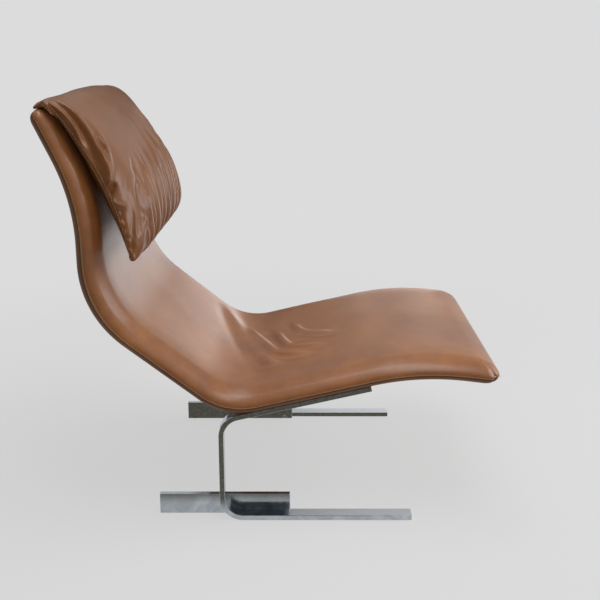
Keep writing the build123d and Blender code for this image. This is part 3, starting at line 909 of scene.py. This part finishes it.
# The hinge in the round top edge, and the ways down the head and out of it
def hingeFrame():
    low, high, _ = ribs[-1]
    middle = (low + high) / 2
    out = (high - low).normalized()
    return (
        Vector((0, -middle.x, middle.y)),
        Vector((0, -out.y, -out.x)),
        Vector((0, -out.x, out.y)),
    )


hinge, downWay, outWay = hingeFrame()


# (across, down, out) of a point, measured from the hinge
def headPlace(co):
    rel = co - hinge
    return co.x, rel.dot(downWay), rel.dot(outWay)


def fromHead(across, down, out):
    return hinge + downWay * down + outWay * out + Vector((across, 0, 0))


# How far out the cushion's side seam lies, at a length down the head
def seamOut(down):
    start, length = cushion["seamSpan"]
    share = min(1.0, max(0.0, (down - start) / length))
    return cushion["rearFace"] - cushion["leather"] + cushion["seamRise"] * math.sin(math.pi * share)


# A merged copy of a CAD node's mesh as a new object
def copyNode(node, name):
    piece = addObject(name, nodes[node].data.copy())
    piece.data.name = name
    makeActive(piece)
    startEdit()
    bpy.ops.mesh.remove_doubles(threshold=0.00001)
    bpy.ops.mesh.normals_make_consistent(inside=False)
    bpy.ops.object.mode_set(mode="OBJECT")
    return piece


# Sides tucked in behind the seam, the top edge drawn down at its corners, and the lip laid on the head
def shapeCushion(co):
    half, rear = cushion["half"], cushion["rearFace"]
    across, down, out = headPlace(co)
    side = smoothStep(*cushion["sideBand"], half - abs(across))
    spread = smoothStep(half - cushion["tuckReach"], half, abs(across))
    seam = seamOut(down)
    under = min(1.0, max(0.0, (seam - out) / max(0.004, seam - rear + 0.006)))
    over = smoothStep(0, cushion["overBand"], out - seam)
    lip = smoothStep(*cushion["lipStart"], down)
    tuck = cushion["tuck"] * (1 - cushion["lipTuck"] * lip)
    pull = spread * tuck * under ** cushion["tuckPower"] + side * cushion["topPull"] * over
    across -= math.copysign(pull, across)
    top = smoothStep(*cushion["topBand"], down) * smoothStep(*cushion["topFront"], out)
    arch = cushion["archMiddle"] - smoothStep(0.05, half, abs(across))
    down -= cushion["topArch"] * top * arch
    beyond = smoothStep(*cushion["hugStart"], abs(across)) * lip
    reach = math.hypot(down, out)
    hug = 1 - cushion["lipHug"] * beyond / max(reach, 0.02)
    return fromHead(across, down * hug, out * hug)


# Height of the gathers at a place on the cushion's face
def gatherRise(across, down):
    height = 0.0
    sway, pace, phase = cushion["gatherSway"]
    for first, last, start, width, rise in gathers:
        share = (down - start) / (cushion["reach"] - start)
        if share <= 0:
            continue
        middle = first + (last - first) * share + sway * math.sin(pace * down + phase * first)
        grown = smoothStep(0, cushion["gatherGrown"], share)
        grown *= 1 - cushion["hemFade"] * smoothStep(*cushion["hemStart"], share)
        off = across - middle
        crease = cushion["gatherCrease"] * hill(off, 1.5 * width, 0.5 * width)
        height += rise * grown * (hill(off, 0, width) - crease)
    return height


# Height of the drag folds and puckers beside the right seam
def dragRise(inward, down):
    return foldsRise(Vector((down, inward)), dragLines, folding["dragHollow"])


# Moves each vertex along its normal by the rise at its place
def pushOut(case, riseAt):
    normals = [vertex.normal.copy() for vertex in case.data.vertices]
    for vertex, normal in zip(case.data.vertices, normals):
        vertex.co += normal * riseAt(*headPlace(vertex.co))
    case.data.update()


# Rise of the gathers, drag folds and seam groove on the filled cushion
def foldRise(across, down, out):
    if out < cushion["rearFace"] + 0.003:
        return 0.0
    half, seam, near = cushion["half"], seamOut(down), across < 0
    inward = (out - seam) + (half - abs(across))
    face = smoothStep(*cushion["nearFace" if near else "farFace"], inward)
    rise = cushion["gather"] * gatherRise(across, down) * face
    side = smoothStep(*cushion["sideStart"], out - seam) * (1.0 if near else cushion["farDrag"])
    if inward < cushion["dragReach"] and side > 0:
        rise += dragRise(inward, down) * side
    atSide = smoothStep(0.06, 0.03, half - abs(across))
    rough, pace, place, width = cushion["seamWaver"]
    waver = rough * math.sin(pace * down) * hill(out - seam, place, width)
    depth, width = cushion["seamGroove"]
    return rise + atSide * (waver - depth * hill(out, seam, width))


# Small rise that tells the slack leather where to fold
def seedRise(across, down, out):
    front = smoothStep(*cushion["seedStart"], out)
    return cushion["seedShare"] * front * gatherRise(across, down)


# Blows the slack leather up with Cloth, held at its back, lip and side seams
def fillCushion(case):
    start = [vertex.co.copy() for vertex in case.data.vertices]
    hold = case.vertex_groups.new(name="hold")
    for vertex in case.data.vertices:
        across, down, out = headPlace(vertex.co)
        back = smoothStep(*cushion["holdBack"], out)
        lip = smoothStep(*cushion["holdLip"], down)
        edge = smoothStep(*cushion["holdSeam"], abs(out - seamOut(down)))
        edge *= smoothStep(*cushion["holdSide"], cushion["half"] - abs(across))
        hold.add([vertex.index], max(back, lip, edge), "REPLACE")
    case.shape_key_add(name="placed")
    slack = case.shape_key_add(name="slack")
    for vertex in case.data.vertices:
        across, down, out = headPlace(vertex.co)
        lower = smoothStep(*cushion["slackStart"], down)
        slack.data[vertex.index].co = (
            vertex.co
            + Vector((across * cushion["slackAcross"] * lower, 0, 0))
            + downWay * (down * cushion["slackDown"])
        )
    slack.value = 0
    cloth = case.modifiers.new("fill", "CLOTH")
    settings = cloth.settings
    for key, value in clothFill.items():
        setattr(settings, key, value)
    settings.vertex_group_mass = "hold"
    settings.rest_shape_key = slack
    settings.effector_weights.gravity = 0
    cloth.point_cache.frame_start = 1
    cloth.point_cache.frame_end = cushion["frames"]
    scene = bpy.context.scene
    for step in range(1, cushion["frames"] + 1):
        scene.frame_set(step)
    shaped = bpy.data.meshes.new_from_object(case.evaluated_get(bpy.context.evaluated_depsgraph_get()))
    case.modifiers.clear()
    case.shape_key_clear()
    farthest = 0.0
    for vertex, place, spot in zip(case.data.vertices, shaped.vertices, start):
        move = place.co - spot
        farthest = max(farthest, move.length)
        if move.length > cushion["cap"]:
            move *= cushion["cap"] / move.length
        vertex.co = spot + move
    bpy.data.meshes.remove(shaped)
    case.vertex_groups.clear()
    scene.frame_set(1)
    print("cushion swelled by up to", round(farthest * 1000, 1), "mm")


def buildCushion():
    case = copyNode("head_cushion_filling", "headCushionLeather")
    case.data.remesh_voxel_size = cushion["voxel"]
    makeActive(case)
    bpy.ops.object.voxel_remesh()
    pushOut(case, lambda across, down, out: cushion["leather"])
    reshape(case, shapeCushion)
    pushOut(case, seedRise)
    fillCushion(case)
    roundOff(case)
    pushOut(case, foldRise)
    ease = case.modifiers.new("ease", "SMOOTH")
    ease.factor = 0.5
    ease.iterations = cushion["easing"]
    applyModifiers(case)
    bpy.ops.object.shade_smooth()
    print("cushion", len(case.data.polygons))
    return case


flap = {
    "inner": 0.0223,
    "thickness": 0.004,
    "width": 0.500,
    "start": 28.6,
    "end": 204.6,
    "drop": 0.046,
    "step": 0.003,
    "cutsAcross": 25,
    "edgeRound": 0.0014,
    "stitchInset": 0.006,
}


# A place on the flap by its length from the front edge and its height over the flap's inside
def onFlap(across, along, height):
    radius = flap["inner"] + height
    middle = flap["inner"] + flap["thickness"] / 2
    bend = math.radians(flap["end"] - flap["start"]) * middle
    turn = math.radians(flap["start"]) + min(along, bend) / middle
    beyond = max(0.0, along - bend)
    spot = hinge + Vector((across, -radius * math.cos(turn), radius * math.sin(turn)))
    return spot + downWay * beyond


def buildFlap():
    middle = flap["inner"] + flap["thickness"] / 2
    length = math.radians(flap["end"] - flap["start"]) * middle + flap["drop"]
    size = (flap["width"], length, flap["thickness"])
    strip = makeBlock("flapLeather", size, length / 2, flap["edgeRound"], 3)
    count = round(length / flap["step"])
    for i in range(1, count):
        bisectAt((0, length * i / count, 0), (0, 1, 0))
    for i in range(1, flap["cutsAcross"]):
        bisectAt((flap["width"] * (i / flap["cutsAcross"] - 0.5), 0, 0), (1, 0, 0))
    bpy.ops.object.mode_set(mode="OBJECT")
    reshape(strip, lambda co: onFlap(*co))
    shadeSmooth(strip)
    print("flap", len(strip.data.polygons))
    inset, top, step = flap["stitchInset"], flap["thickness"], shell["stitchStep"]
    side = flap["width"] / 2 - inset
    placings = []
    for i in range(round((length - 2 * inset) / step)):
        for x in (-side, side):
            along = inset + (i + 0.5) * step
            placings.append(lambda co, x=x, along=along: onFlap(x + co.x, along + co.y, top + co.z))
    for i in range(round(2 * side / step)):
        x = -side + (i + 0.5) * step
        placings.append(lambda co, x=x: onFlap(x + co.y, length - inset + co.x, top + co.z))
    return strip, joinStitches("flapStitches", placings)


# The (across, along, depth) of a place on the chair, to within a rib
def offWave(co):
    spot = Vector((-co.y, co.z))
    stride, around, past = 12, 16, 0.2
    rough = min(
        range(0, len(ribs), stride),
        key=lambda i: (ribs[i][0] + ribs[i][1] - 2 * spot).length_squared,
    )
    best = (math.inf, 0.0, 0.0)
    for low, high, along in ribs[max(0, rough - around):rough + around + 1]:
        way = high - low
        share = min(1 + past, max(-past, (spot - low).dot(way) / way.length_squared))
        best = min(best, ((low + way * share - spot).length, along, share))
    low, high, along = ribs[0] if best[1] == 0 else ribs[-1]
    if best[1] in (0, waveLength):
        side = (high - low).normalized()
        beyond = (spot - low).dot(Vector((-side.y, side.x)))
        return co.x, along + beyond, best[2] * slabThickness
    return co.x, best[1], best[2] * slabThickness


# A place in the foam, its corners and edges drawn in like the cover's
def softPlace(co):
    across, along, depth = offWave(co)
    start = onWave(across, along, depth)
    depth = softEdge(across, along, depth)
    return co + (onWave(*roundCorner(across, along), depth) - start)


look = {
    "backdrop": 0.716,
    "worldFill": 0.36,
    "flagColour": (0.05, 0.055, 0.06),
    "sideFlag": 0.97,
    "gapFlag": 0.95,
    "gapLow": (-0.10, 0.04),
    "gapHigh": (0.40, 0.28),
    "gapSide": (-0.26, -0.04),
    "cameraSpot": (-1.967, -0.0566, 1.094),
    "focal": 48.35,
    "pitch": 13.04,
    "shiftY": -0.12,
    "floorSize": 16,
    "floorLit": 0.22,
    "floorReach": (0.7, 2.2),
    "floorFlag": (-0.9, -1.9),
    "wallFlag": (-0.15, -0.75),
}

# Name, place, aim, width, height and power of each lamp
lamps = [
    ("overhead", (-0.5, -0.3, 3.0), (-0.1, 0, 0.4), 1.2, 2.6, 42),
    ("frontSoft", (0.3, -3.0, 1.7), (0, 0.1, 0.6), 1.8, 1.8, 44),
    ("sheenSoft", (2.5, -0.50, 0.5), (0, 0.2, 0.6), 0.9, 0.9, 3.6),
]


# 1 for rays from the camera and in reflections, 0 for the ones that light the chair
def seenRays(tree):
    rays = addNode(tree, "ShaderNodeLightPath")
    seen = addMath(tree, "MAXIMUM", rays.outputs["Is Camera Ray"], rays.outputs["Is Glossy Ray"])
    return addMath(tree, "MAXIMUM", seen, rays.outputs["Is Transmission Ray"])


# Shows the first shader, and the second where the share is 1
def mixShaders(tree, share, first, second, end):
    mix = addNode(tree, "ShaderNodeMixShader")
    feed(mix, {0: share, 1: first.outputs[0], 2: second.outputs[0]})
    feed(end, {"Surface": mix.outputs[0]})


# Pale to the camera and in reflections, with the chair's shadow near its feet
def stageMaterial(name, shade):
    material, tree, shader = newMaterial(name)
    feed(shader, {"Base Color": (shade,) * 3, "Roughness": 0.9, "Specular IOR Level": 0.0})
    spot = addNode(tree, "ShaderNodeTexCoord").outputs["Object"]
    away = addNode(tree, "ShaderNodeVectorMath", operation="LENGTH")
    feed(away, {0: spot})
    plain = rangeOf(tree, away.outputs["Value"], *look["floorReach"], 1 - look["floorLit"], 1.0)
    across = addNode(tree, "ShaderNodeSeparateXYZ", Vector=spot).outputs["X"]
    glossy = addNode(tree, "ShaderNodeLightPath").outputs["Is Glossy Ray"]
    dim = product(tree, rangeOf(tree, across, *look["floorFlag"], 0, look["sideFlag"]), glossy)
    lit = addMath(tree, "SUBTRACT", 1.0, dim)
    glow = addNode(tree, "ShaderNodeEmission", Color=(shade,) * 3, Strength=lit)
    share = product(tree, plain, seenRays(tree))
    mixShaders(tree, share, shader, glow, tree.nodes["Material Output"])
    return material


def makeWorld():
    world = bpy.data.worlds.new("studio")
    bpy.context.scene.world = world
    world.use_nodes = True
    tree = world.node_tree
    fill = tree.nodes["Background"]
    feed(fill, {"Color": (1.0, 1.0, 1.0), "Strength": look["worldFill"]})
    way = addNode(tree, "ShaderNodeTexCoord").outputs["Generated"]
    split = addNode(tree, "ShaderNodeSeparateXYZ", Vector=way).outputs
    glossy = addNode(tree, "ShaderNodeLightPath").outputs["Is Glossy Ray"]
    flag = rangeOf(tree, split["X"], *look["wallFlag"], 0, look["sideFlag"])
    gap = product(
        tree,
        rangeOf(tree, split["Z"], *look["gapLow"], 0, look["gapFlag"]),
        rangeOf(tree, split["Z"], *look["gapHigh"], 0, 1),
        rangeOf(tree, split["Y"], *look["gapSide"], 0, 1),
    )
    flag = product(tree, addMath(tree, "MAXIMUM", flag, gap), glossy)
    colour = mixColour(tree, flag, (look["backdrop"],) * 3, look["flagColour"])
    seen = addNode(tree, "ShaderNodeBackground", Color=colour)
    mixShaders(tree, seenRays(tree), fill, seen, tree.nodes["World Output"])


def makeStage():
    deselectAll()
    bpy.ops.mesh.primitive_plane_add(size=look["floorSize"], location=(0, 0, 0))
    floor = bpy.context.object
    floor.name = "floor"
    floor.data.materials.append(stageMaterial("paleFloor", look["backdrop"]))


def makeLights():
    for name, place, aim, width, height, power in lamps:
        light = bpy.data.lights.new(name, "AREA")
        light.shape = "RECTANGLE"
        light.size = width
        light.size_y = height
        light.energy = power
        lamp = addObject(name, light)
        lamp.location = place
        lamp.rotation_euler = (Vector(aim) - Vector(place)).to_track_quat("-Z", "Y").to_euler()
        lamp.visible_camera = False


def makeCamera():
    data = bpy.data.cameras.new("camera")
    data.lens = look["focal"]
    data.sensor_width = 36
    data.shift_y = look["shiftY"]
    camera = addObject("camera", data)
    camera.location = look["cameraSpot"]
    camera.rotation_euler = (math.radians(90 - look["pitch"]), 0, math.radians(-90))
    bpy.context.scene.camera = camera


leatherGrain = leatherGrainGroup()
steelPolish = brushGroup()
finishes = {
    "shell_leather": leatherMaterial(
        "brownLeather", (0.35, 0.135, 0.042), (0.215, 0.077, 0.024), sheen=0.29, coat=0.22, specular=0.38,
    ),
    # The cushion's leather is the shell's brown leather, painted darker as shade on the cushion's top
    "cushion_leather": leatherMaterial(
        "shadedSoftLeather", (0.215, 0.080, 0.024), (0.140, 0.049, 0.014), sheen=0.25, coat=0.10, specular=0.31,
    ),
    # The rear cover is the front's brown leather, painted darker as shade on the underside
    "rear_leather": leatherMaterial(
        "shadedRearLeather", (0.20, 0.075, 0.024), (0.12, 0.044, 0.014), sheen=0.42, coat=0.0, specular=0.25,
    ),
    "foam": plainMaterial("foam", (0.8, 0.72, 0.5), (0.66, 0.58, 0.38), 0.95, 400, bump=0.6),
    "frame_steel": plainMaterial("blackPaint", (0.05,) * 3, (0.03,) * 3, 0.4, 90, bump=0.1),
    "webbing": plainMaterial("webbing", (0.14, 0.11, 0.08), (0.08, 0.06, 0.05), 0.9, 700, bump=0.5),
    # Polished steel with its painted dark and pale reflections switched on
    "polished_steel": steelMaterial(
        "polishedSteel", (0.60, 0.65, 0.70), smear=0.22, scratch=0.25, bump=0.05, paintedReflections=1.0,
    ),
    "screw_steel": steelMaterial(
        "screwSteel", (0.30, 0.30, 0.31), smear=0.35, scratch=0.5, bump=0.1, paintedReflections=0.0,
    ),
    "black_plastic": plainMaterial("blackPlastic", (0.035,) * 3, (0.02,) * 3, 0.55, 300),
    "thread": plainMaterial("thread", (0.55, 0.36, 0.19), (0.42, 0.25, 0.12), 0.8, 900),
}
print("finishes", len(finishes))

slotOf = {row["node"]: row["material_slot"] for row in frame["record"]["subparts"]}
for name, node in nodes.items():
    setFinish(node, slotOf[name])

front, rear, stitches = buildShell()
setFinish(front, "shell_leather")
setFinish(rear, "rear_leather")
setFinish(stitches, "thread")
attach(front, "chair")
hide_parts("front_cover")
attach(rear, "chair")
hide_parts("rear_cover")
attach(stitches, "chair")

case = buildCushion()
setFinish(case, "cushion_leather")
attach(case, "head_cushion")
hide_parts("head_cushion_cover", "head_cushion_filling")

caseStitches = joinStitches("cushionStitches", cushionStitches(case))
setFinish(caseStitches, "thread")
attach(caseStitches, "head_cushion")

strip, stripStitches = buildFlap()
setFinish(strip, "cushion_leather")
setFinish(stripStitches, "thread")
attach(strip, "chair")
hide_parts("cushion_flap")
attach(stripStitches, "chair")

for node, name in (("front_foam", "frontFoamLayer"), ("rear_foam", "rearFoamLayer")):
    foam = copyNode(node, name)
    reshape(foam, softPlace)
    print("foam", name, len(foam.data.polygons))
    setFinish(foam, "foam")
    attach(foam, "chair")
    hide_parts(node)

makeStage()
makeWorld()
makeLights()
makeCamera()
bpy.context.scene.view_settings.view_transform = "Standard"
print("stage, lamps and camera", len(lamps))
